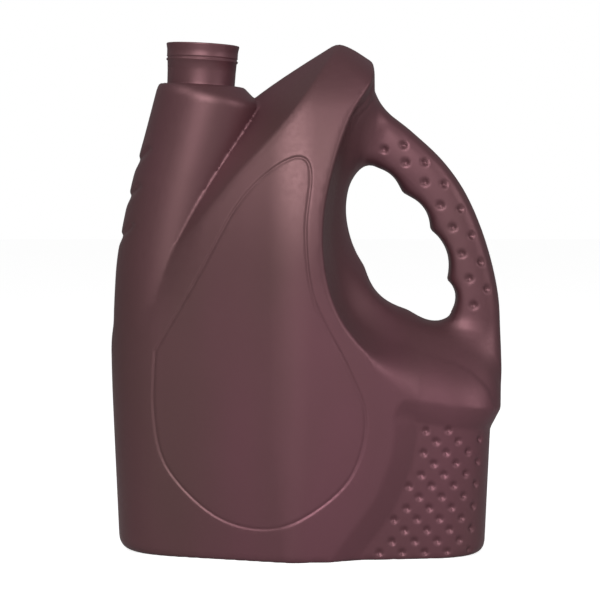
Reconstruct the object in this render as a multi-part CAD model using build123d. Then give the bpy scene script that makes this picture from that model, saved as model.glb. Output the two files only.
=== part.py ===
"""Four litre plastic jerrycan: one blow-moulded shell with a hollow handle and an open screw neck.

Millimetres. X runs to the handle, Z up, and the two mould halves meet on the plane Y = 0, so the front
half lies at negative Y and the back half is its mirror image. "Depth" means distance from that plane.
"""

import os
from math import atan2, cos, degrees, hypot, radians, sin, tan

from build123d import *

# The moulding
WALL = 1.3
# The inside is made of flats: how many for each rounded corner, and round a tube
PLAIN_RUNS = 4
PLAIN_SIDES = 16
# Straight runs stay this much farther inside curved edges
PLAIN_SLACK = 1.8
PEAK = (22.0, 293.0)
# Farther than any point of the jerrycan
FAR = 400.0

# Main body: plan of the front half as the centres of its corners, (x, depth), and the corner radii
PLAN = [(-86, 3.8), (-6.4, 28.5), (86, 17.4)]
END_RADIUS = 28.0
CREST_RADIUS = 60.0
# Below the waist the sides draw in by this angle, down to the rounded foot
WAIST = 110.0
DRAFT = 2.9
BASE_RADIUS = 7.0
# Above this height the front leans back: radius of each arc, and its angle from upright where it ends
LEAN_START = 165.0
LEAN_ARCS = [(260.0, 20.2), (75.0, 75.0)]
# The leaning front has these facets round the crest, whose arc is centred here in plan
CREST = (-3.4, -4.1)
CREST_FACETS = (17.2, 5.2, -6.8)
CREST_CLEAR = 0.3

# Bevel between the neck column and the main face: its line on the parting plane, and in front of the face
OUTSIDE = 130.0
FACE_FRONT = 60.0
BEVEL_BACK = [(-150, 90), (-114, 140), (-88, 199), (-62, 234), (-25.7, 265.3), PEAK]
BEVEL_FRONT = [(-120, 100), (-80, 138), (-58, 161.5), (-39, 190.5), (-19, 219), (24, 270)]

# Recess around the handle opening: depth, then its edge from the top of the shoulder to the right side
RECESS = [
    (0, [(41, 310), (41, 272), (38, 246), (30.5, 221), (23, 201), (27, 178), (38, 158), (55, 140.5),
         (73, 133.8), (90, 134), (130, 122)]),
    (14, [(41, 310), (41, 272), (36, 248), (28, 223), (20.5, 200), (23, 174), (35, 152), (52, 136),
          (71, 129), (90, 125), (130, 116)]),
    (30, [(40, 310), (39.5, 272), (29, 250), (20, 224), (15, 198), (15, 172), (25, 140), (44, 124),
          (66, 117), (92, 110), (130, 102)]),
    (60, [(37, 310), (35, 272), (22, 252), (12.5, 222), (7.8, 193), (9.5, 160), (19, 134), (37, 109),
          (61, 101), (90, 91), (130, 79)]),
]

# Dimpled panel at the lower right, sunk below the main section
PANEL_DROP = 5.8
PANEL_TOP = (75.0, 88.5)
PANEL_TILT = 8.3
PANEL_RAMP = 12.5
PANEL_LEFT = [
    (33, [(89, 98), (87, 80), (84, 60), (76, 36), (60, 10), (42, -20)]),
    (60, [(38, 98), (37.5, 80), (36, 60), (30, 36), (16, 10), (-4, -20)]),
]

# Flat field for a label, sunk a little below the main face
FIELD_DROP = 0.8
FIELD = [(-86, 118), (-61, 161), (-40, 199), (-22, 219), (-4.6, 228), (2.5, 219), (-0.3, 185), (4.6, 148),
         (24, 109), (33.5, 80), (24, 47), (-4, 24.5), (-30, 19), (-56, 28), (-80, 53), (-87, 84)]

# Neck column: a round tube with a bent centre line, under a shoulder cone that is centred on the neck
COLUMN_LINE = [(-82, 118), (-78.2, 172), (-71.5, 206), (-53.6, 273)]
COLUMN_RADIUS = 32.0
COLLAR_RADIUS = 24.4
SHOULDER_ANGLE = 47.0
SHOULDER_DROP = 40.0
# Slanted grooves on its left side: where each starts, and their length, width and depth
GROOVES = [(-97, 226), (-102.7, 204.8), (-106.7, 182.5)]
GROOVE_SIZE = (9.5, 2.0, 0.7)

# Neck
NECK_FOOT = (-61.4, 270.0)
NECK_LEAN = 3.0
NECK_RADIUS = 19.3
NECK_LENGTH = 23.6
BORE_RADIUS = 17.2
LIP_RADIUS = 21.2
LIP_HEIGHT = 2.4
THREAD_RADIUS = 20.9
THREAD_HEIGHT = 15.0
THREAD_WIDTH = 2.2

# Handle: centre line from inside the shoulder to inside the lower body
HANDLE_LINE = [(29.3, 250.6), (52.4, 231.4), (68.8, 215.5), (81.2, 196.7), (91.3, 170), (97.3, 141.4), (98.9, 108)]
HANDLE_RADIUS = 15.0
# Finger hollows along the inside of the handle: centre and radius of each
FINGERS = [((40, 207.5), 15), ((54.5, 188.4), 18.5), ((59.7, 165.8), 24.6), ((75.5, 147), 12.5)]


def moved_in(points, distance):
    """The same line shifted to its right-hand side, which is where the material lies."""
    ends = [points[0]] + points + [points[-1]]
    shifted = []
    for (xa, za), (x, z), (xb, zb) in zip(ends, points, ends[2:]):
        run, rise = xb - xa, zb - za
        length = hypot(run, rise)
        shifted.append((x + distance * rise / length, z - distance * run / length))
    return shifted


def edge_line(points, plain):
    """A smooth line for the outside, and straight runs for the inside."""
    return Polyline(*points).edges() if plain else [Spline(*points).edge()]


def plan_face(inset, plain):
    """The section at the waist."""
    corners = [(x, -depth) for x, depth in PLAN] + [(x, depth) for x, depth in reversed(PLAN)]
    face = make_face(Polyline(*corners, close=True))
    crests = [v for v in face.vertices() if abs(v.X - PLAN[1][0]) < 1]
    face = offset(fillet(crests, CREST_RADIUS - END_RADIUS), END_RADIUS - inset)
    if not plain:
        return face
    marks = []
    for edge in face.faces()[0].outer_wire().order_edges():
        runs = 1 if edge.geom_type == GeomType.LINE else PLAIN_RUNS
        marks += [edge @ (n / runs) for n in range(runs)]
    return make_face(Polyline(*marks, close=True))


def lean_slab(angle, inset, plain):
    """Everything behind one leaning facet of the front."""
    inward = Vector(sin(radians(angle)), cos(radians(angle)), 0)
    x, depth = CREST
    origin = Vector(x, -depth, 0) - inward * (CREST_RADIUS + CREST_CLEAR - inset)
    back, up, turned = 0.0, LEAN_START, 0.0
    lines = [Line((0, 0), (0, LEAN_START))]
    for radius, end in LEAN_ARCS:
        marks = []
        for part in (0, 0.5, 1):
            now, before = radians(turned + part * (end - turned)), radians(turned)
            arc = radius - inset
            marks.append((back + arc * (cos(before) - cos(now)), up + arc * (sin(now) - sin(before))))
        lines.append(Polyline(*marks) if plain else ThreePointArc(*marks))
        (back, up), turned = marks[-1], end
    lines.append(Polyline((back, up), (FAR / 2, up), (FAR / 2, 0), (0, 0)))
    plane = Plane(origin=origin, x_dir=inward, z_dir=inward.cross(Vector(0, 0, 1)))
    return extrude(plane * make_face(lines), FAR / 2, both=True)


def core(inset, floor, plain):
    """The main body before anything is cut from it."""
    waist = Pos(0, 0, WAIST) * plan_face(inset, plain)
    foot = BASE_RADIUS * 0.7 if plain else 0
    body = extrude(waist, FAR - WAIST) + extrude(waist, WAIST - floor - foot, dir=(0, 0, -1), taper=DRAFT)
    base = body.faces().sort_by(Axis.Z)[0]
    body = body + extrude(base, foot, dir=(0, 0, -1), taper=45) if plain else fillet(base.edges(), BASE_RADIUS)
    for angle in CREST_FACETS:
        slab = lean_slab(angle, inset, plain)
        body = body & slab & mirror(slab, Plane.XZ)
    return body


def both_sides(solid):
    return solid + solid.mirror(Plane.XZ)


def in_depth(points, depth):
    return [(x, -depth, z) for x, z in points]


def bevel(inset, plain):
    """Everything below and to the right of the bevelled edge."""
    wires = []
    inset += PLAIN_SLACK if plain else 0
    for depth, points in ((0, BEVEL_BACK), (FACE_FRONT, BEVEL_FRONT)):
        line = in_depth(moved_in(points, inset), depth)
        shoulder = [line[-1], (60, -depth, 268 - inset), (OUTSIDE, -depth, 268 - inset),
                    (OUTSIDE, -depth, -20), (line[0][0], -depth, -20), line[0]]
        wires.append(Wire([*edge_line(line, plain), *Polyline(*shoulder).edges()]))
    return both_sides(Solid.make_loft(wires, ruled=True))


def recess(inset, plain):
    """The room around the handle opening, through the whole depth."""
    wires = []
    inset += PLAIN_SLACK if plain else 0
    for depth, points in RECESS:
        line = in_depth(moved_in(points, inset), depth)
        away = [line[-1], (OUTSIDE + 20, -depth, line[-1][2]), (OUTSIDE + 20, -depth, line[0][2]), line[0]]
        wires.append(Wire([*edge_line(line, plain), *Polyline(*away).edges()]))
    return both_sides(Solid.make_loft(wires, ruled=True))


def panel_room(inset, plain):
    """What is taken away so that the dimpled panel lies below the main section."""
    wires = []
    for depth, points in PANEL_LEFT:
        line = in_depth([(x - inset - (PLAIN_SLACK if plain else 0), z) for x, z in points], depth)
        away = [line[-1], (OUTSIDE, -depth, line[-1][2]), (OUTSIDE, -depth, line[0][2]), line[0]]
        wires.append(Wire([*edge_line(line, plain), *Polyline(*away).edges()]))
    front = Solid.make_loft(wires, ruled=True)
    middle = extrude(front.faces().filter_by(Axis.Y).sort_by(Axis.Y)[-1], 2 * PANEL_LEFT[0][0], dir=(0, 1, 0))
    x, z = PANEL_TOP
    section = plan_face(inset, plain)
    rim = extrude(section, 2 * PANEL_RAMP) + extrude(
        section, PANEL_RAMP, dir=(0, 0, -1), taper=degrees(atan2(PANEL_DROP, PANEL_RAMP)))
    rim = Pos(x, 0, z + inset) * Rot(0, PANEL_TILT, 0) * Pos(-x, 0, 0) * rim
    return both_sides(front) + middle - rim - core(PANEL_DROP + inset, inset, plain)


def label_field(inset, plain):
    """The skin taken off the main face for the label field."""
    outline = make_face(Polyline(*FIELD, close=True) if plain else Spline(*FIELD, periodic=True))
    if plain:
        outline = offset(outline, inset + PLAIN_SLACK, kind=Kind.INTERSECTION)
    prism = extrude(Plane.XZ * outline, FACE_FRONT + 5, both=True)
    return prism - core(FIELD_DROP + inset, inset, plain)


def tube(points, radius, plain):
    """A round tube along a bent line in the middle plane."""
    line = Polyline(*[(x, 0, z) for x, z in points])
    section = RegularPolygon(radius, PLAIN_SIDES) if plain else Circle(radius)
    return Solid.sweep((Plane(line @ 0, z_dir=line % 0) * section).face(), line, transition=Transition.RIGHT)


def column(inset, plain):
    """The column that carries the neck."""
    spread = COLLAR_RADIUS + SHOULDER_DROP * tan(radians(SHOULDER_ANGLE))
    shoulder = Pos(0, 0, -inset) * (
        Cone(spread, COLLAR_RADIUS, SHOULDER_DROP, align=(Align.CENTER, Align.CENTER, Align.MAX))
        + Pos(0, 0, -SHOULDER_DROP) * Cylinder(spread, FAR / 2, align=(Align.CENTER, Align.CENTER, Align.MAX)))
    return tube(COLUMN_LINE, COLUMN_RADIUS - inset, plain) & (neck_place() * shoulder)


def grooves():
    """Slanted grooves in the left side of the column."""
    length, width, depth = GROOVE_SIZE
    bars = [Pos(x, 0, z) * Rot(0, -45, 0) * Box(2 * length, FAR, width) for x, z in GROOVES]
    return Part() + bars - column(depth, False)


def handle(inset, plain):
    """The tube of the handle."""
    grip = tube(HANDLE_LINE, HANDLE_RADIUS - inset, plain)
    for (x, z), radius in FINGERS:
        grip -= Plane(origin=(x, 0, z), z_dir=(0, 1, 0)) * Cylinder(radius + inset, 3 * HANDLE_RADIUS)
    return grip


def form(inset, plain):
    """The whole outside, or the inside when it is drawn in by the wall."""
    body = core(inset, inset, plain) & bevel(inset, plain)
    body = body - recess(inset, plain) - panel_room(inset, plain) - label_field(inset, plain)
    return body + column(inset, plain) + handle(inset, plain)


def neck_place():
    x, z = NECK_FOOT
    return Location((x, 0, z), (0, NECK_LEAN, 0))


def neck():
    """Collar, plain barrel, one thread ridge and the lip."""
    barrel = Pos(0, 0, -6) * Cylinder(NECK_RADIUS, NECK_LENGTH + 6, align=(Align.CENTER, Align.CENTER, Align.MIN))
    thread = Pos(0, 0, THREAD_HEIGHT) * Cylinder(THREAD_RADIUS, THREAD_WIDTH)
    lip = Pos(0, 0, NECK_LENGTH - LIP_HEIGHT) * Cylinder(
        LIP_RADIUS, LIP_HEIGHT, align=(Align.CENTER, Align.CENTER, Align.MIN))
    return neck_place() * (barrel + thread + lip)


def bore():
    return neck_place() * (Pos(0, 0, -10) * Cylinder(
        BORE_RADIUS, NECK_LENGTH + 12, align=(Align.CENTER, Align.CENTER, Align.MIN)))


def jerrycan():
    return form(0, False) + neck() - grooves() - form(WALL, True) - bore()


if __name__ == "__main__":
    os.makedirs("parts", exist_ok=True)
    export_step(jerrycan(), "parts/jerrycan_body.step")
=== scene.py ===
from math import ceil, cos, hypot, pi, radians, sin, tan

import bmesh
import bpy
import numpy as np
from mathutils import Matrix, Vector


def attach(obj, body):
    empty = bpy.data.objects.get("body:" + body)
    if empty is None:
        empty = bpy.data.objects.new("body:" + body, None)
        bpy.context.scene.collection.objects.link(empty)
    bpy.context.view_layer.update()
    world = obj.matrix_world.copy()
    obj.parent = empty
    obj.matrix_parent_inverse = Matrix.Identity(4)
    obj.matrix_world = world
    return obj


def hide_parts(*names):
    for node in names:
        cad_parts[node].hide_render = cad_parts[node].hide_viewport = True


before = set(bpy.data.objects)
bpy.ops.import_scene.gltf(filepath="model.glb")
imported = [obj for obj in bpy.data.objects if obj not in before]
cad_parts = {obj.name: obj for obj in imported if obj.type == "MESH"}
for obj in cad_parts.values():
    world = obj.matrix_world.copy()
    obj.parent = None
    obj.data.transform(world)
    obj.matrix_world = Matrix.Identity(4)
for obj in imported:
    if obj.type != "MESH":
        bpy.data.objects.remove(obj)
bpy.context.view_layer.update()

bl_info = {
    "name": "Plastic jerrycan",
    "version": (1, 0, 0),
    "blender": (4, 5, 0),
    "location": "View3D > Sidebar > Jerrycan",
    "description": "Finish and studio for a blow-moulded plastic jerrycan",
    "category": "Object",
}

MM = 0.001
PLASTIC = "satin_maroon"


class DimpleSizes(bpy.types.PropertyGroup):
    depth: bpy.props.FloatProperty(
        name="Depth", description="Depth of a dimple", subtype="DISTANCE", unit="LENGTH", default=0.0019)
    radius: bpy.props.FloatProperty(
        name="Radius", description="Radius of a handle dimple", subtype="DISTANCE", unit="LENGTH",
        default=0.0031)
    panel_share: bpy.props.FloatProperty(
        name="Panel share", description="Panel dimples against handle dimples", min=0.1, max=1, default=0.95)
    pitch: bpy.props.FloatProperty(
        name="Pitch", description="Half of the distance between two dimples of a row on the panel",
        subtype="DISTANCE", unit="LENGTH", default=0.00645)
    rise: bpy.props.FloatProperty(
        name="Rise", description="Distance between two rows on the panel", subtype="DISTANCE", unit="LENGTH",
        default=0.0063)


class PlasticLook(bpy.types.PropertyGroup):
    maroon: bpy.props.FloatVectorProperty(
        name="Maroon", description="Colour of the pigmented plastic", subtype="COLOR", size=3,
        min=0, max=1, default=(0.156, 0.060, 0.077))
    shade: bpy.props.FloatVectorProperty(
        name="Shade", description="Browner colour where the pigment is thin", subtype="COLOR", size=3,
        min=0, max=1, default=(0.122, 0.058, 0.060))
    pearl: bpy.props.FloatProperty(
        name="Pearl", description="Share of pearl pigment, which tints the shine", min=0, max=1, default=0.6)
    roughness: bpy.props.FloatProperty(
        name="Roughness", description="How satin the surface is", min=0, max=1, default=0.46)
    grain: bpy.props.FloatProperty(
        name="Grain", description="Height of the fine mould grain", subtype="DISTANCE", unit="LENGTH",
        default=0.000005)


class StudioSettings(bpy.types.PropertyGroup):
    distance: bpy.props.FloatProperty(
        name="Camera distance", description="From the middle plane of the jerrycan", subtype="DISTANCE",
        unit="LENGTH", default=1.2)
    eye_height: bpy.props.FloatProperty(
        name="Eye height", description="Camera height over the floor", subtype="DISTANCE", unit="LENGTH",
        default=0.2169)
    view_width: bpy.props.FloatProperty(
        name="View width", description="Width of the picture at the middle plane", subtype="DISTANCE",
        unit="LENGTH", default=0.350)
    aim_height: bpy.props.FloatProperty(
        name="Aim height", description="Height that the middle of the picture looks at", subtype="DISTANCE",
        unit="LENGTH", default=0.1452)
    aim_side: bpy.props.FloatProperty(
        name="Aim side", description="Sideways place of the camera", subtype="DISTANCE", unit="LENGTH",
        default=-0.0035)
    key_power: bpy.props.FloatProperty(
        name="Key power", description="Power of the soft lamp over the camera", subtype="POWER", default=10)
    side_power: bpy.props.FloatProperty(
        name="Side power", description="Power of each soft lamp at the sides", subtype="POWER", default=7.5)
    floor_lift: bpy.props.FloatProperty(
        name="Floor lift", description="Whiteness that the camera sees on the floor beside its shading",
        min=0, default=0.84)
    room: bpy.props.FloatProperty(
        name="Room light", description="Brightness of the room around", min=0, default=0.225)


# Form of the outside, in millimetres

# Places are (x, z) seen from the front. Depth is about the distance from the plane Y = 0, where the two
# mould halves meet. A softness is the width over which an edge is rounded. A pair of pairs gives a value
# that changes evenly from one place to another.

# Crest on the parting plane: how round it is, and how far the whole depth is lowered to make up for it
CREST_ROUND = 2.0
CREST_LIFT = 0.5

# Main faces of the front half: a point on their ridge, (x, depth), and the slope of each side
RIDGE = (-9.0, 55.85)
SLOPES = (0.31, -0.12)
RIDGE_SOFT = ((0, 2.2), (80, 5.2))
# Above this height the faces lean back along two arcs: their radii, the angle from upright at which the
# second begins, the share of the lean that is used, and the sine of the steepest angle
LEAN_START = 165.0
LEAN_RADII = (260.0, 75.0)
LEAN_TURN = radians(20.2)
LEAN_SHARE = 0.97
STEEPEST = 0.94

# Sides, and how they draw in below the waist
SIDE = 114.0
LEFT_OUT = 0.8
LEFT_DRAFT_LESS = 0.03
LEFT_SOFT = ((0, 24), (120, 30))
RIGHT_SOFT = ((0, 24), (120, 32))
END_SOFT = 2
WAIST = 110.0
DRAFT = 0.0507
DRAFT_SOFT = 25
FOOT_SOFT = ((75, 2.6), (110, 8.6))

# Bevel between the neck column and the main face: its line at two depths
BEVEL = (
    (0, ((-150, 90), (-114, 140), (-88, 199), (-62, 234), (-25.7, 265.3), (22, 296), (60, 318))),
    (60, ((-120, 100), (-80, 138), (-58, 161.5), (-39, 190.5), (-19, 219), (24, 270), (60, 305))))
BEVEL_OUT = 1.1
BEVEL_SOFT = ((150, 13), (190, 1.6))

# Slope to the right of the peak: a point on it, how much it falls along x, z and depth, and their length
PEAK = (22, 295.0)
PEAK_FALL = (0.55, 0.835, 0.32)
PEAK_LENGTH = 1.05
PEAK_SOFT = 6

# Edge of the recess around the opening at four depths, from the shoulder down to the right side
RECESS = (
    (0, ((39.4, 330), (39.4, 272), (41.5, 250), (37, 230), (28.5, 214), (25, 200), (28, 180), (39, 160),
         (55, 143.5), (73, 137), (90, 136), (130, 124))),
    (14, ((39.4, 330), (39.4, 272), (37.6, 250), (30.5, 228), (22, 204), (23, 176), (35, 153), (52, 137),
          (71, 130), (90, 126), (130, 116))),
    (30, ((38.6, 330), (38.4, 283), (36.8, 272), (28.3, 253.5), (20.3, 226), (15, 198), (15.5, 172),
          (25, 142), (44, 125), (66, 117.5), (92, 111), (130, 102))),
    (60, ((36, 330), (34, 272), (22, 252), (12.5, 222), (7.8, 193), (9.5, 160), (19, 134), (37, 109),
          (61, 101), (90, 91), (130, 79))))
RECESS_SOFT = 2.2
# Over the hip, at the lower right, the edge is rounder by this much
HIP_SOFT = 22
HIP_X = (34, 64)
HIP_Z = (180, 140)
# Two fine lines beside the edge of the shoulder: their distances, size, and where they fade at each end
LEDGES = (4.2, 7.6)
LEDGE_DEPTH = 0.38
LEDGE_HALF = 0.7
LEDGE_ENDS = ((246, 252), (279, 273))

# Sunk grip panel at the lower right: its outer edge, and the ramp down to it
PANEL = ((140, 79), (112, 83.7), (87, 87), (68, 90), (55, 91), (50, 84), (50.3, 76), (48.7, 61), (44.4, 49),
         (39, 36), (33, 27), (24, 15), (16, 4), (4, -14))
PANEL_DROP = 5.0
PANEL_RAMP = 12.5
PANEL_SOFT = 0.5

# Field for a label: a little lower than the face around it, with a fine groove for its edge. From so many
# steps off the edge on, its drop counts as whole.
FIELD = ((-86, 118), (-61, 161), (-40, 199), (-22, 219), (-4.6, 228), (2.5, 219), (-0.3, 185), (4.6, 148),
         (24, 109), (33.5, 80), (24, 47), (-4, 24.5), (-30, 19), (-56, 28), (-80, 53), (-87, 84), (-86, 118))
FIELD_DROP = 0.25
FIELD_STEP = 0.35
FIELD_FAR = 30
FIELD_GROOVE = 0.55
FIELD_GROOVE_HALF = 0.75

# Neck column with its shoulder, and the slanted grooves on its left side
COLUMN = ((-80, 90), (-81.3, 120), (-80.4, 150), (-78.2, 172), (-71.3, 205), (-62.8, 236), (-53.0, 273))
COLUMN_RADIUS = 31.2
COLLAR_RADIUS = 25.0
SHOULDER_ANGLE = 47.0
SHOULDER_SOFT = 3
COLLAR_SOFT = 0.9
GROOVES = ((-97, 226), (-102.7, 204.8), (-106.7, 182.5))
GROOVE_ENDS = (-6, 6.7)
GROOVE_DEPTH = 1.3
GROOVE_HALF = 1.6
VALLEY_SOFT = 0.6

# Neck: its foot and lean, and its radius and height over the foot, from the root up and down the bore
NECK_FOOT = (-61.0, 270.0)
NECK_LEAN = radians(3.0)
NECK = ((19.9, -0.8), (19.7, 0.25), (19.6, 1), (19.8, 8), (20.1, 13.3), (20.7, 13.8), (20.8, 14.2),
        (20.7, 14.6), (20.2, 15.0), (20.2, 15.7), (20.6, 16.1), (20.65, 16.4), (20.5, 16.7), (20.6, 20),
        (21.1, 22.6), (21.15, 23.1), (20.9, 23.5), (20.5, 23.6), (18.4, 23.6), (17.9, 23.4), (17.6, 22.9),
        (17.3, 20), (17.2, 0), (17.2, -1.6))
NECK_SIDES = 96
# Under the neck the outside ends at this radius, and the inside at the bore. The disc that is taken out
# there is this flat, and the points around its hole lie this near to it.
RING_INSIDE = 19.0
RING_HEIGHT = 0.8
RING_REACH = 8

# Handle: a tube with a flat front and back
HANDLE = ((29.6, 249.6), (41.0, 240.4), (52.5, 231.3), (69.1, 215.6), (81.7, 196.8), (92, 170.2), (98, 141.4),
          (98.9, 108))
HANDLE_RADIUS = 15.0
HANDLE_FLAT = 13.0
HANDLE_SOFT = 5
HANDLE_JOIN = 9

# Opening: its left and lower edge, closed through the middles of the finger hollows, and those hollows
HOLE = ((44, 216), (39, 221.9), (31.7, 219.6), (27.2, 214.6), (24.8, 207), (24.6, 192), (31, 173),
        (44.3, 156.8), (57.2, 144), (68, 135.2), (77.5, 133.6), (84.4, 138), (75.7, 146.8), (61, 168),
        (54.5, 188.4), (48, 207), (44, 216))
HOLE_SOFT = 4
FINGERS = (((40.4, 207.5), 14), ((54.5, 188.4), 17.8), ((59.7, 165.8), 24), ((75.7, 146.8), 12.0))
FINGER_SOFT = 1.5

# Dimples: the rows on the handle, and the lattice of the panel with the room kept around it
HANDLE_DIMPLES = (
    ((44.8, 232.8), (57.3, 225.3), (68.5, 214), (77.5, 200.8), (84.6, 188.1), (90, 172.8), (94.4, 158.4),
     (97, 143)),
    ((56.4, 235.4), (68.6, 225.6), (79.8, 212.9), (89.2, 198.5), (95.7, 183.2), (101, 167.8),
     (104.7, 152.3)))
LATTICE_START = (67.7, 73.7)
LATTICE_LEAN = 0.098
LATTICE_ROWS = 12
LATTICE_HALF_ROW = 9
LATTICE_EDGE = 1.6
LATTICE_LOWEST = 3.5
LATTICE_RIGHT = ((80, SIDE - 11), (0, SIDE - 16.6))

# Mesh: the room that it is made in, cell sizes outside and inside, and the distance between the two skins
ROOM = ((-117, 117), (-60, 60), (-3, 298))
STEP = 2.15
INSIDE_STEP = 5.0
SKIN_GAP = 1.6
# Putting points on the surface: the step that its slope is measured with, the longest move, and the least
# square of the slope. A dimple's centre starts this far out and comes in by this many rounds.
NUDGE = 0.05
LONGEST_MOVE = 1.5
LEAST_SLOPE = 0.1
DIMPLE_START = 70.0
DIMPLE_ROUNDS = 60
# Finer mesh: how near to each detail, and how far from the parting plane
DIMPLE_REACH = 4.4
DIMPLE_DEPTH = 8
FIELD_REACH = 2.6
FIELD_LINE_REACH = 1.5
FIELD_DEPTH = 24
GROOVE_REACH = 3
GROOVE_MIDDLE = 2
GROOVE_HALF_RUN = 9
# How much longer a step along both axes is than a step along one
DIAGONAL = 1.41
LEDGE_REACH = (2.5, 9.5)
LEDGE_RANGE = (244, 282)
RECESS_REACH = 4
RECESS_BOTTOM = 150
# Depth at which the recess has its edge on its middle line, and how far that edge shifts with depth
RECESS_LEAN = (40, 3.5 / 15)
RECESS_DEPTH = 20
RAMP_REACH = 2
RAMP_TOP = 94
RAMP_DEPTH = 16
# Where the neck column meets the main faces
VALLEY = ((-26, 263), (-31.8, 253.7), (-42, 235), (-51.6, 218), (-60, 205), (-68.6, 189.7), (-77, 164))
VALLEY_REACH = 4
SEAM_DEPTH = 12


def curve(points, runs=7):
    """Points along a smooth curve through the given ones."""
    p = np.array([points[0], *points, points[-1]], float)
    out = []
    for a, b, c, d in zip(p, p[1:], p[2:], p[3:]):
        t = np.arange(runs)[:, None] / runs
        out.append(0.5 * (2 * b + (c - a) * t + (2 * a - 5 * b + 4 * c - d) * t ** 2
                          + (3 * b - a - 3 * c + d) * t ** 3))
    return np.vstack([*out, p[-1:]])


BEVEL_LINES = [(depth, curve(points)) for depth, points in BEVEL]
RECESS_LINES = [(depth, curve(points)) for depth, points in RECESS]
RECESS_MIDDLE, RECESS_FRONT = RECESS_LINES[2][1], RECESS_LINES[3][1]
PANEL_LINE = curve(PANEL)
FIELD_LINE = curve(FIELD)
COLUMN_LINE = curve(COLUMN)
HANDLE_LINE = curve(HANDLE)
HOLE_LINE = curve(HOLE, 4)


def beside(x, z, line):
    """Distance from a curve, above zero on its left-hand side."""
    best = np.full(np.broadcast(x, z).shape, np.inf)
    side = np.zeros_like(best)
    for (xa, za), (xb, zb) in zip(line, line[1:]):
        run, rise = xb - xa, zb - za
        t = np.clip(((x - xa) * run + (z - za) * rise) / (run * run + rise * rise), 0, 1)
        gap = (x - xa - t * run) ** 2 + (z - za - t * rise) ** 2
        near = gap < best
        best = np.where(near, gap, best)
        side = np.where(near, run * (z - za) - rise * (x - xa), side)
    return np.sqrt(best) * np.sign(side)


def ramp(value, start, end):
    """0 up to the start, 1 from the end on, and even between them."""
    return np.clip((value - start) / (end - start), 0, 1)


def graded(value, ends):
    """A size that changes evenly between two places."""
    (start, first), (end, last) = ends
    return first + (last - first) * ramp(value, start, end)


def line_of(gap, half):
    """A soft line, 1 in its middle, from the distance to that middle."""
    return np.exp(-(gap / half) ** 2)


def cut(a, b, soft):
    """The larger of two distances, with the edge between them rounded."""
    return np.maximum(a, b) + np.maximum(soft - np.abs(a - b), 0) ** 2 / (4 * soft)


def join(a, b, soft):
    """The smaller of two distances, with the corner between them filled."""
    return -cut(-a, -b, soft)


def ruled(x, z, depth, levels):
    """Distance beyond a surface that changes from one outline to the next with depth."""
    gaps = [beside(x, z, line) for _, line in levels]
    marks = [mark for mark, _ in levels]
    slopes = [(b - a) / (q - p) for a, b, p, q in zip(gaps, gaps[1:], marks, marks[1:])]
    if len(slopes) == 1:
        return (gaps[0] + slopes[0] * depth) / np.sqrt(1 + slopes[0] ** 2)
    ends = [slopes[0], *[(a + b) / 2 for a, b in zip(slopes, slopes[1:])], slopes[-1]]
    gap, lean = gaps[0], slopes[0]
    for n, slope in enumerate(slopes):
        p, q = marks[n], marks[n + 1]
        t = np.clip((depth - p) / (q - p), 0, 1)
        value = ((2 * t ** 3 - 3 * t ** 2 + 1) * gaps[n] + (t ** 3 - 2 * t ** 2 + t) * (q - p) * ends[n]
                 + (3 * t ** 2 - 2 * t ** 3) * gaps[n + 1] + (t ** 3 - t ** 2) * (q - p) * ends[n + 1])
        within = depth >= p
        gap = np.where(within, value, gap)
        lean = np.where(within, slope, lean)
    return gap / np.sqrt(1 + lean ** 2)


def setback(z):
    """How far the front leans back at a height, and its slope there."""
    wide, tight = LEAN_RADII
    top = LEAN_START + wide * sin(LEAN_TURN)
    low = np.clip(z - LEAN_START, 0, top - LEAN_START)
    back = wide - np.sqrt(wide ** 2 - low ** 2)
    slope = low / np.sqrt(wide ** 2 - low ** 2)
    rise = np.clip(sin(LEAN_TURN) + np.maximum(z - top, 0) / tight, 0, STEEPEST)
    flat = np.sqrt(1 - rise ** 2)
    high = tight * (cos(LEAN_TURN) - flat)
    return np.where(z > top, back + high, back), np.where(z > top, rise / flat, slope)


def main_faces(x, z, depth):
    """The two faces of the front that meet in a ridge, with the label field and its groove."""
    left, right = [(depth - RIDGE[1] - slope * (x - RIDGE[0])) / hypot(1, slope) for slope in SLOPES]
    back, slope = setback(z)
    front = (cut(left, right, graded(z, RIDGE_SOFT)) + LEAN_SHARE * back) / np.sqrt(1 + slope ** 2)
    label = -beside(x, z, FIELD_LINE)
    front = front + FIELD_DROP / (1 + np.exp(-np.clip(label / FIELD_STEP, -FIELD_FAR, FIELD_FAR)))
    return front + FIELD_GROOVE * line_of(label, FIELD_GROOVE_HALF)


def main_body(x, z, depth):
    """Body with its sides, grip panel, bevel, peak and recess."""
    draft = DRAFT * cut(WAIST - z, 0, DRAFT_SOFT)
    left = -x - SIDE - LEFT_OUT - LEFT_DRAFT_LESS * draft
    body = cut(main_faces(x, z, depth) - draft, left, graded(z, LEFT_SOFT))
    panel = beside(x, z, PANEL_LINE) * PANEL_DROP / PANEL_RAMP
    panel = join(cut(panel, 0, PANEL_SOFT), PANEL_DROP, PANEL_SOFT)
    body = cut(body, x - SIDE, graded(z, RIGHT_SOFT)) + draft + panel
    body = cut(body, ruled(x, z, depth, BEVEL_LINES) - BEVEL_OUT, graded(z, BEVEL_SOFT))
    along, up, out = PEAK_FALL
    peak = (along * (x - PEAK[0]) + up * (z - PEAK[1]) + out * depth) / PEAK_LENGTH
    body = cut(body, peak, PEAK_SOFT)
    hip = ramp(x, *HIP_X) * ramp(z, *HIP_Z)
    body = cut(body, ruled(x, z, depth, RECESS_LINES), RECESS_SOFT + HIP_SOFT * hip)
    lower, upper = LEDGE_ENDS
    fade = ramp(z, *lower) * ramp(z, *upper)
    for ledge in LEDGES:
        body = body + LEDGE_DEPTH * fade * line_of(beside(x, z, RECESS_FRONT) - ledge, LEDGE_HALF)
    return body


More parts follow.
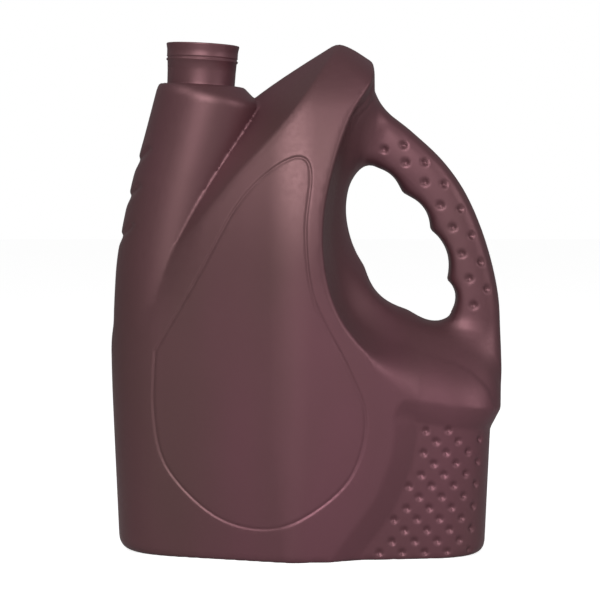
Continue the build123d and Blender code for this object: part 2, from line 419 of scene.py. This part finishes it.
def neck_frame(x, y, z):
    """Distance across, sideways and up from the foot of the leaning neck."""
    dx, dz = x - NECK_FOOT[0], z - NECK_FOOT[1]
    return dx * cos(NECK_LEAN) - dz * sin(NECK_LEAN), y, dx * sin(NECK_LEAN) + dz * cos(NECK_LEAN)


def from_neck_frame(across, side, up):
    """The reverse of neck_frame, as an array of points."""
    return np.stack([NECK_FOOT[0] + across * cos(NECK_LEAN) + up * sin(NECK_LEAN), side + 0 * up,
                     NECK_FOOT[1] - across * sin(NECK_LEAN) + up * cos(NECK_LEAN)], axis=-1)


def neck_column(x, y, z):
    """Column under the neck, with its conical shoulder and its grooves."""
    column = np.sqrt(np.abs(beside(x, z, COLUMN_LINE)) ** 2 + y ** 2) - COLUMN_RADIUS
    across, side, up = neck_frame(x, y, z)
    flare = radians(SHOULDER_ANGLE)
    shoulder = (np.sqrt(across ** 2 + side ** 2) - COLLAR_RADIUS + up * tan(flare)) * cos(flare)
    column = cut(cut(column, shoulder, SHOULDER_SOFT), up, COLLAR_SOFT)
    for gx, gz in GROOVES:
        t = np.clip(((x - gx) + (z - gz)) / 2, *GROOVE_ENDS)
        gap = np.sqrt((x - gx - t) ** 2 + (z - gz - t) ** 2)
        column = column + GROOVE_DEPTH * line_of(gap, GROOVE_HALF)
    return column


def hand_opening(x, z):
    """Distance inside the edge of the opening."""
    hole = beside(x, z, HOLE_LINE)
    for (fx, fz), radius in FINGERS:
        hole = cut(hole, radius - np.sqrt((x - fx) ** 2 + (z - fz) ** 2), FINGER_SOFT)
    return hole


def surface(x, y, z):
    """Distance in front of the outside of the moulding, below zero in the plastic."""
    depth = np.sqrt(y ** 2 + CREST_ROUND ** 2) - CREST_LIFT
    handle = np.sqrt(np.abs(beside(x, z, HANDLE_LINE)) ** 2 + y ** 2) - HANDLE_RADIUS
    handle = cut(handle, np.abs(y) - HANDLE_FLAT, HANDLE_SOFT)
    whole = join(main_body(x, z, depth), neck_column(x, y, z), VALLEY_SOFT)
    whole = cut(join(whole, handle, HANDLE_JOIN), hand_opening(x, z), HOLE_SOFT)
    whole = cut(whole, x - SIDE, END_SOFT)
    return cut(whole, -z, graded(np.abs(x), FOOT_SOFT))


CORNERS = [np.array((i, j, k)) for i in (0, 1) for j in (0, 1) for k in (0, 1)]
EDGES = [(a, b) for a in CORNERS for b in CORNERS if (b - a).min() == 0 and (b - a).sum() == 1]


def grid(step):
    """Grid lines along each axis, those across the depth alike on both sides of the parting plane."""
    along, up = [np.arange(low, high + step, step) for low, high in (ROOM[0], ROOM[2])]
    half = ceil(ROOM[1][1] / step)
    return [along, np.arange(-half - 0.5, half + 1) * step, up]


def skin(step, inset):
    """Closed mesh where the distance is minus the inset, from a grid of cells with one point in each."""
    axes = grid(step)
    x, y, z = axes[0][:, None, None], axes[1][None, :, None], axes[2][None, None, :]
    value = surface(x, y, z) + inset
    inside = value < 0
    shape = np.array(value.shape) - 1
    count = sum(inside[i:i + shape[0], j:j + shape[1], k:k + shape[2]].astype(np.int8) for i, j, k in CORNERS)
    cells = np.argwhere((count > 0) & (count < len(CORNERS)))
    index = np.full(shape, -1)
    index[tuple(cells.T)] = np.arange(len(cells))

    # Each cell's point is the middle of the places where the surface crosses its edges
    total, hits = np.zeros((len(cells), 3)), np.zeros((len(cells), 1))
    for a, b in EDGES:
        fa, fb = value[tuple((cells + a).T)], value[tuple((cells + b).T)]
        hit = (fa < 0) != (fb < 0)
        t = np.where(hit, fa / np.where(hit, fa - fb, 1), 0)[:, None]
        total += np.where(hit[:, None], a + t * (b - a), 0)
        hits += hit[:, None]
    places = np.array([axis[0] for axis in axes]) + (cells + total / hits) * step

    # Each grid edge that the surface crosses gets a face between the four cells around it
    faces = []
    for axis in range(3):
        one, a, b = np.eye(3, dtype=int)[[axis, (axis + 1) % 3, (axis + 2) % 3]]
        here = inside[:value.shape[0] - one[0], :value.shape[1] - one[1], :value.shape[2] - one[2]]
        there = inside[one[0]:, one[1]:, one[2]:]
        nodes = np.argwhere(here != there)
        quads = np.stack([index[tuple((nodes - shift).T)] for shift in (0 * a, a, a + b, b)], axis=1)
        outward = here[tuple(nodes.T)]
        faces.append(np.where(outward[:, None], quads, quads[:, ::-1]))
    return places, np.vstack(faces)


def settle(places):
    """Move points straight onto the surface."""
    value = surface(*places.T)
    slopes = []
    for axis in range(3):
        ahead = places.copy()
        ahead[:, axis] += NUDGE
        slopes.append((surface(*ahead.T) - value) / NUDGE)
    slopes = np.stack(slopes, axis=1)
    size = np.maximum((slopes ** 2).sum(1), LEAST_SLOPE)
    return places - np.clip(value / size, -LONGEST_MOVE, LONGEST_MOVE)[:, None] * slopes


def panel_dimples(pitch, rise):
    """Places of the panel dimples, row by row, kept clear of the panel's edges."""
    places = []
    for row in range(LATTICE_ROWS):
        for column in range(-LATTICE_HALF_ROW, LATTICE_HALF_ROW):
            if (row + column) % 2 == 0:
                x = LATTICE_START[0] + column * pitch - row * rise * LATTICE_LEAN
                z = LATTICE_START[1] - row * rise
                clear = beside(np.array(x), np.array(z), PANEL_LINE) - PANEL_RAMP
                if clear > LATTICE_EDGE and z > LATTICE_LOWEST and x < graded(z, LATTICE_RIGHT):
                    places.append((x, z))
    return places


def on_both_sides(places):
    """Points of the surface in front of and behind the given places."""
    points = np.array([(x, side * DIMPLE_START, z) for x, z in places for side in (-1, 1)])
    for _ in range(DIMPLE_ROUNDS):
        points[:, 1] -= np.sign(points[:, 1]) * surface(*points.T)
    return points


def fine(x, y, z, spots):
    """Whether places lie where the form is too fine for the plain grid."""
    out = np.abs(y)
    dimple = np.min([(x - sx) ** 2 + (z - sz) ** 2 for sx, sz in spots], axis=0) < DIMPLE_REACH ** 2
    groove = np.min([np.abs((x - gx) - (z - gz)) / DIAGONAL
                     + np.maximum(np.abs(x - gx - GROOVE_MIDDLE) - GROOVE_HALF_RUN, 0)
                     for gx, gz in GROOVES], axis=0) < GROOVE_REACH
    ledge = beside(x, z, RECESS_FRONT)
    ledge = (ledge > LEDGE_REACH[0]) & (ledge < LEDGE_REACH[1]) & (z > LEDGE_RANGE[0]) & (z < LEDGE_RANGE[1])
    middle, lean = RECESS_LEAN
    edge = np.abs(beside(x, z, RECESS_MIDDLE) + lean * (out - middle)) < RECESS_REACH
    slope = beside(x, z, PANEL_LINE)
    slope = (np.abs(slope) < RAMP_REACH) | (np.abs(slope - PANEL_RAMP) < RAMP_REACH)
    valley = np.abs(beside(x, z, VALLEY)) < VALLEY_REACH
    return (groove | (dimple & (out > DIMPLE_DEPTH)) | ((ledge | valley) & (out > SEAM_DEPTH))
            | (edge & (z > RECESS_BOTTOM) & (out > RECESS_DEPTH))
            | (slope & (z < RAMP_TOP) & (out > RAMP_DEPTH)) | label_edge(x, y, z, FIELD_REACH))


def label_edge(x, y, z, reach):
    """Whether places lie near the edge of the label field."""
    return (np.abs(beside(x, z, FIELD_LINE)) < reach) & (np.abs(y) > FIELD_DEPTH)


def refine(mesh, wanted):
    """Split the faces whose middle the test accepts, and put all points on the surface."""
    bm = bmesh.new()
    bm.from_mesh(mesh)
    middles = np.array([face.calc_center_median()[:] for face in bm.faces]) / MM
    edges = {edge for face, split in zip(bm.faces, wanted(*middles.T)) if split for edge in face.edges}
    bmesh.ops.subdivide_edges(bm, edges=list(edges), cuts=1, use_grid_fill=True)
    places = settle(np.array([vert.co[:] for vert in bm.verts]) / MM)
    for vert, place in zip(bm.verts, places * MM):
        vert.co = place
    bm.to_mesh(mesh)
    bm.free()


def mesh_of(name, places, faces):
    """Mesh from points in millimetres."""
    mesh = bpy.data.meshes.new(name)
    mesh.from_pydata((places * MM).tolist(), [], faces)
    return mesh


class JERRYCAN_OT_moulding(bpy.types.Operator):
    """Build the outside of the moulding with its rounded edges"""
    bl_idname = "jerrycan.moulding"
    bl_label = "Moulding"

    def execute(self, context):
        sizes = context.scene.jerrycan_dimples
        places, faces = skin(STEP, 0)
        mesh = mesh_of("moulding", places, faces.tolist())
        spots = [place for row in HANDLE_DIMPLES for place in row]
        spots += panel_dimples(sizes.pitch / MM, sizes.rise / MM)
        refine(mesh, lambda x, y, z: fine(x, y, z, spots))
        refine(mesh, lambda x, y, z: label_edge(x, y, z, FIELD_LINE_REACH))
        mesh.shade_smooth()
        mesh.materials.append(bpy.data.materials[PLASTIC])
        piece = bpy.data.objects.new("moulding", mesh)
        context.scene.collection.objects.link(piece)
        return {"FINISHED"}


def dimple_tree():
    """Nodes that press the surface in around each of a set of points, and the inputs by name."""
    tree = bpy.data.node_groups.new("dimples", "GeometryNodeTree")
    face = tree.interface
    face.new_socket("Geometry", in_out="OUTPUT", socket_type="NodeSocketGeometry")
    face.new_socket("Geometry", in_out="INPUT", socket_type="NodeSocketGeometry")
    inputs = {}
    for name, kind in (("Centres", "NodeSocketObject"), ("Radius", "NodeSocketFloat"),
                       ("Depth", "NodeSocketFloat"), ("Material", "NodeSocketMaterial")):
        inputs[name] = face.new_socket(name, in_out="INPUT", socket_type=kind).identifier
    new, link = tree.nodes.new, tree.links.new
    start, end = new("NodeGroupInput"), new("NodeGroupOutput")

    # Distance to the closest centre
    centres = new("GeometryNodeObjectInfo")
    centres.transform_space = "ORIGINAL"
    closest = new("GeometryNodeProximity")
    closest.target_element = "POINTS"
    link(start.outputs["Centres"], centres.inputs["Object"])
    link(centres.outputs["Geometry"], closest.inputs[0])

    # Bowl: minus the depth in the middle, and nothing from the radius on
    bowl = new("ShaderNodeMapRange")
    bowl.interpolation_type = "SMOOTHSTEP"
    bowl.inputs["From Min"].default_value = 0
    bowl.inputs["To Max"].default_value = 0
    inward = new("ShaderNodeMath")
    inward.operation = "MULTIPLY"
    inward.inputs[1].default_value = -1
    link(closest.outputs["Distance"], bowl.inputs["Value"])
    link(start.outputs["Radius"], bowl.inputs["From Max"])
    link(start.outputs["Depth"], inward.inputs[0])
    link(inward.outputs[0], bowl.inputs["To Min"])

    # Move along the normal
    normal = new("GeometryNodeInputNormal")
    scale = new("ShaderNodeVectorMath")
    scale.operation = "SCALE"
    move = new("GeometryNodeSetPosition")
    link(normal.outputs["Normal"], scale.inputs[0])
    link(bowl.outputs["Result"], scale.inputs["Scale"])
    link(start.outputs["Geometry"], move.inputs["Geometry"])
    link(scale.outputs["Vector"], move.inputs["Offset"])

    real, paint = new("GeometryNodeRealizeInstances"), new("GeometryNodeSetMaterial")
    link(move.outputs["Geometry"], real.inputs["Geometry"])
    link(real.outputs["Geometry"], paint.inputs["Geometry"])
    link(start.outputs["Material"], paint.inputs["Material"])
    link(paint.outputs["Geometry"], end.inputs["Geometry"])
    return tree, inputs


class JERRYCAN_OT_dimples(bpy.types.Operator):
    """Press the grip dimples into the handle and the lower panel"""
    bl_idname = "jerrycan.dimples"
    bl_label = "Dimples"

    def execute(self, context):
        sizes = context.scene.jerrycan_dimples
        piece = bpy.data.objects["moulding"]
        tree, inputs = dimple_tree()
        grips = [place for row in HANDLE_DIMPLES for place in row]
        panel = panel_dimples(sizes.pitch / MM, sizes.rise / MM)
        for name, places, share in (("grip_points", grips, 1.0), ("panel_points", panel, sizes.panel_share)):
            points = bpy.data.objects.new(name, mesh_of(name, on_both_sides(places), []))
            context.scene.collection.objects.link(points)
            modifier = piece.modifiers.new(name, "NODES")
            modifier.node_group = tree
            modifier[inputs["Centres"]] = points
            modifier[inputs["Radius"]] = sizes.radius * share
            modifier[inputs["Depth"]] = sizes.depth * share
            modifier[inputs["Material"]] = bpy.data.materials[PLASTIC]
            context.view_layer.update()
            shape = bpy.data.meshes.new_from_object(piece.evaluated_get(context.evaluated_depsgraph_get()))
            piece.modifiers.remove(modifier)
            piece.data = shape
            bpy.data.objects.remove(points)
        return {"FINISHED"}


def open_ring(mesh, level, radius):
    """Take the disc under the neck out of a shell, and make the edge of the hole round."""
    bm = bmesh.new()
    bm.from_mesh(mesh)
    across, side, up = neck_frame(*(np.array([vert.co[:] for vert in bm.verts]).T / MM))
    gone = (np.hypot(across, side) < radius) & (np.abs(up - level) < RING_HEIGHT)
    if not gone.any():
        raise RuntimeError("the neck has no disc under it")
    bmesh.ops.delete(bm, geom=[vert for vert, leave in zip(bm.verts, gone) if leave], context="VERTS")
    for vert in {vert for edge in bm.edges if edge.is_boundary for vert in edge.verts}:
        across, side, up = neck_frame(*(np.array(vert.co[:]) / MM))
        out = hypot(across, side)
        if out < radius + RING_REACH:
            vert.co = from_neck_frame(across * radius / out, side * radius / out, np.array(level)) * MM
    bm.to_mesh(mesh)
    bm.free()


def turned_neck():
    """Neck turned from its section, from the root up the outside and down the bore."""
    turns = np.arange(NECK_SIDES) * 2 * pi / NECK_SIDES
    rings = [from_neck_frame(radius * np.cos(turns), radius * np.sin(turns), 0 * turns + up)
             for radius, up in NECK]
    quads = []
    for ring in range(len(NECK) - 1):
        for n in range(NECK_SIDES):
            a, b = ring * NECK_SIDES + n, ring * NECK_SIDES + (n + 1) % NECK_SIDES
            quads.append((a, b, b + NECK_SIDES, a + NECK_SIDES))
    return mesh_of("neck", np.vstack(rings), quads)


class JERRYCAN_OT_neck(bpy.types.Operator):
    """Add the neck with its thread and bore, and the inside wall, hide the CAD body and hang the piece under
    the root body
    """
    bl_idname = "jerrycan.neck"
    bl_label = "Neck and inside"

    def execute(self, context):
        piece = bpy.data.objects["moulding"]
        outside = piece.data.copy()
        open_ring(outside, 0.0, RING_INSIDE)
        places, faces = skin(INSIDE_STEP, SKIN_GAP)
        inside = mesh_of("inside", places, faces[:, ::-1].tolist())
        open_ring(inside, -SKIN_GAP, NECK[-1][0])

        bm = bmesh.new()
        for mesh in (outside, inside, turned_neck()):
            bm.from_mesh(mesh)
            bpy.data.meshes.remove(mesh)
        bm.to_mesh(piece.data)
        bm.free()
        piece.data.shade_smooth()
        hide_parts("jerrycan_body")
        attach(piece, "root")
        return {"FINISHED"}


def node_material(name):
    """Material of this name with an empty tree."""
    material = bpy.data.materials.get(name) or bpy.data.materials.new(name)
    material.use_nodes = True
    material.node_tree.nodes.clear()
    return material, material.node_tree


# Plastic: pattern scales per metre, and heights in metres
CLOUDS = 9
CLOUD_STRETCH = (1, 1, 0.35)
CLOUD_RANGE = (0.35, 0.65)
SATIN_SCALE = 420
SATIN_RANGE = (0.3, 0.7)
SATIN_SPREAD = 0.03
WAVE_SCALE = 38
WAVE_HEIGHT = 0.0002
GRAIN_SCALE = 1500
PARTING_HALF = (0.0001, 0.0005)
PARTING_HEIGHT = 0.0002


class JERRYCAN_OT_plastic(bpy.types.Operator):
    """Mix the satin maroon plastic with its pearl sheen"""
    bl_idname = "jerrycan.plastic"
    bl_label = "Maroon plastic"

    def execute(self, context):
        look = context.scene.jerrycan_look
        _, tree = node_material(PLASTIC)
        new, link = tree.nodes.new, tree.links.new
        place = new("ShaderNodeTexCoord")
        shader = new("ShaderNodeBsdfPrincipled")
        out = new("ShaderNodeOutputMaterial")
        link(shader.outputs["BSDF"], out.inputs["Surface"])

        def noise(scale, detail, stretch=(1, 1, 1)):
            size = new("ShaderNodeMapping")
            size.inputs["Scale"].default_value = stretch
            link(place.outputs["Object"], size.inputs["Vector"])
            node = new("ShaderNodeTexNoise")
            node.inputs["Scale"].default_value = scale
            node.inputs["Detail"].default_value = detail
            link(size.outputs["Vector"], node.inputs["Vector"])
            return node.outputs["Fac"]

        def ranged(value, *ends):
            node = new("ShaderNodeMapRange")
            for name, end in zip(("From Min", "From Max", "To Min", "To Max"), ends):
                node.inputs[name].default_value = end
            link(value, node.inputs["Value"])
            return node.outputs["Result"]

        def added(a, b):
            node = new("ShaderNodeMath")
            link(a, node.inputs[0])
            link(b, node.inputs[1])
            return node.outputs[0]

        # Flow of the pigment: broad clouds drawn out along the height
        colour = new("ShaderNodeMix")
        colour.data_type = "RGBA"
        colour.inputs["A"].default_value = (*look.shade, 1)
        colour.inputs["B"].default_value = (*look.maroon, 1)
        link(ranged(noise(CLOUDS, 3, CLOUD_STRETCH), *CLOUD_RANGE, 0, 1), colour.inputs["Factor"])
        link(colour.outputs["Result"], shader.inputs["Base Color"])
        shader.inputs["Metallic"].default_value = look.pearl
        satin = ranged(noise(SATIN_SCALE, 2), *SATIN_RANGE, look.roughness - SATIN_SPREAD,
                       look.roughness + SATIN_SPREAD)
        link(satin, shader.inputs["Roughness"])

        # Height: soft waviness, fine grain and the parting line of the two mould halves
        split = new("ShaderNodeSeparateXYZ")
        link(place.outputs["Object"], split.inputs["Vector"])
        gap = new("ShaderNodeMath")
        gap.operation = "ABSOLUTE"
        link(split.outputs["Y"], gap.inputs[0])
        parting = ranged(gap.outputs[0], *PARTING_HALF, PARTING_HEIGHT, 0)
        wave = ranged(noise(WAVE_SCALE, 1), 0, 1, 0, WAVE_HEIGHT)
        grain = ranged(noise(GRAIN_SCALE, 3), 0, 1, 0, look.grain)
        bump = new("ShaderNodeBump")
        bump.inputs["Strength"].default_value = 1
        bump.inputs["Distance"].default_value = 1
        link(added(added(wave, grain), parting), bump.inputs["Height"])
        link(bump.outputs["Normal"], shader.inputs["Normal"])
        return {"FINISHED"}


# Studio, in metres: half the width of the floor, its colour, and each soft lamp's place and width
FLOOR_HALF = 6
FLOOR_GREY = 0.6
FLOOR_ROUGHNESS = 0.9
FLOOR_SPECULAR = 0.1
KEY_LAMP = ((-0.1, -1.05, 0.72), 0.7)
LEFT_LAMP = ((-1.25, -0.8, 1.7), 1.0)
RIGHT_LAMP = ((1.6, -0.9, 0.9), 0.9)
LIT_POINT = Vector((0, 0, 0.15))
# Camera: width of its sensor in millimetres, and the nearest that it sees
SENSOR_WIDTH = 36
NEAREST = 0.05


def turned_to(place, target):
    """Rotation that makes a lamp or a camera look at a point."""
    return (target - Vector(place)).to_track_quat("-Z", "Y").to_euler()


class JERRYCAN_OT_stage(bpy.types.Operator):
    """Add the pale floor, the soft lamps, the room and the camera"""
    bl_idname = "jerrycan.stage"
    bl_label = "Studio"

    def execute(self, context):
        scene = context.scene
        self.add_floor(scene)
        studio = scene.jerrycan_studio
        for name, (place, width), power in (("key_panel", KEY_LAMP, studio.key_power),
                                            ("left_panel", LEFT_LAMP, studio.side_power),
                                            ("right_panel", RIGHT_LAMP, studio.side_power)):
            lamp = bpy.data.lights.new(name, "AREA")
            lamp.shape = "DISK"
            lamp.size = width
            lamp.energy = power
            obj = bpy.data.objects.new(name, lamp)
            obj.location = place
            obj.rotation_euler = turned_to(place, LIT_POINT)
            scene.collection.objects.link(obj)
        self.add_room(scene)
        self.add_camera(scene)
        scene.view_settings.view_transform = "Standard"
        return {"FINISHED"}

    def add_floor(self, scene):
        mesh = bpy.data.meshes.new("floor")
        corners = [(i * FLOOR_HALF, j * FLOOR_HALF, 0) for i, j in ((-1, -1), (1, -1), (1, 1), (-1, 1))]
        mesh.from_pydata(corners, [], [(0, 1, 2, 3)])
        floor = bpy.data.objects.new("floor", mesh)
        scene.collection.objects.link(floor)
        material, tree = node_material("pale_floor")
        new, link = tree.nodes.new, tree.links.new
        shader = new("ShaderNodeBsdfPrincipled")
        shader.inputs["Base Color"].default_value = (FLOOR_GREY, FLOOR_GREY, FLOOR_GREY, 1)
        shader.inputs["Roughness"].default_value = FLOOR_ROUGHNESS
        shader.inputs["Specular IOR Level"].default_value = FLOOR_SPECULAR
        shader.inputs["Emission Color"].default_value = (1, 1, 1, 1)
        path = new("ShaderNodeLightPath")
        lift = new("ShaderNodeMath")
        lift.operation = "MULTIPLY"
        lift.inputs[1].default_value = scene.jerrycan_studio.floor_lift
        link(path.outputs["Is Camera Ray"], lift.inputs[0])
        link(lift.outputs[0], shader.inputs["Emission Strength"])
        out = new("ShaderNodeOutputMaterial")
        link(shader.outputs["BSDF"], out.inputs["Surface"])
        mesh.materials.append(material)

    def add_room(self, scene):
        world = bpy.data.worlds.new("studio")
        world.use_nodes = True
        new, link = world.node_tree.nodes.new, world.node_tree.links.new
        background = world.node_tree.nodes["Background"]
        background.inputs["Color"].default_value = (1, 1, 1, 1)
        path = new("ShaderNodeLightPath")
        level = new("ShaderNodeMapRange")
        level.inputs["To Min"].default_value = scene.jerrycan_studio.room
        level.inputs["To Max"].default_value = 1.0
        link(path.outputs["Is Camera Ray"], level.inputs["Value"])
        link(level.outputs["Result"], background.inputs["Strength"])
        scene.world = world

    def add_camera(self, scene):
        studio = scene.jerrycan_studio
        camera = bpy.data.cameras.new("camera")
        camera.sensor_width = SENSOR_WIDTH
        camera.lens = camera.sensor_width * studio.distance / studio.view_width
        camera.clip_start = NEAREST
        eye = bpy.data.objects.new("camera", camera)
        eye.location = (studio.aim_side, -studio.distance, studio.eye_height)
        eye.rotation_euler = turned_to(eye.location, Vector((studio.aim_side, 0, studio.aim_height)))
        scene.collection.objects.link(eye)
        scene.camera = eye


class JERRYCAN_PT_panel(bpy.types.Panel):
    bl_idname = "JERRYCAN_PT_panel"
    bl_label = "Jerrycan"
    bl_space_type = "VIEW_3D"
    bl_region_type = "UI"
    bl_category = "Jerrycan"

    def draw(self, context):
        scene = context.scene
        for group in (scene.jerrycan_dimples, scene.jerrycan_look, scene.jerrycan_studio):
            box = self.layout.box()
            for name in group.__annotations__:
                box.prop(group, name)
        for operator in OPERATORS:
            self.layout.operator(operator.bl_idname)


OPERATORS = (JERRYCAN_OT_plastic, JERRYCAN_OT_moulding, JERRYCAN_OT_dimples, JERRYCAN_OT_neck,
             JERRYCAN_OT_stage)
CLASSES = (DimpleSizes, PlasticLook, StudioSettings, *OPERATORS, JERRYCAN_PT_panel)


def register():
    for cls in CLASSES:
        bpy.utils.register_class(cls)
    bpy.types.Scene.jerrycan_dimples = bpy.props.PointerProperty(type=DimpleSizes)
    bpy.types.Scene.jerrycan_look = bpy.props.PointerProperty(type=PlasticLook)
    bpy.types.Scene.jerrycan_studio = bpy.props.PointerProperty(type=StudioSettings)


def unregister():
    del bpy.types.Scene.jerrycan_studio
    del bpy.types.Scene.jerrycan_look
    del bpy.types.Scene.jerrycan_dimples
    for cls in reversed(CLASSES):
        bpy.utils.unregister_class(cls)


def main():
    register()
    bpy.ops.jerrycan.plastic()
    bpy.ops.jerrycan.moulding()
    bpy.ops.jerrycan.dimples()
    bpy.ops.jerrycan.neck()
    bpy.ops.jerrycan.stage()


if __name__ == "__main__":
    main()
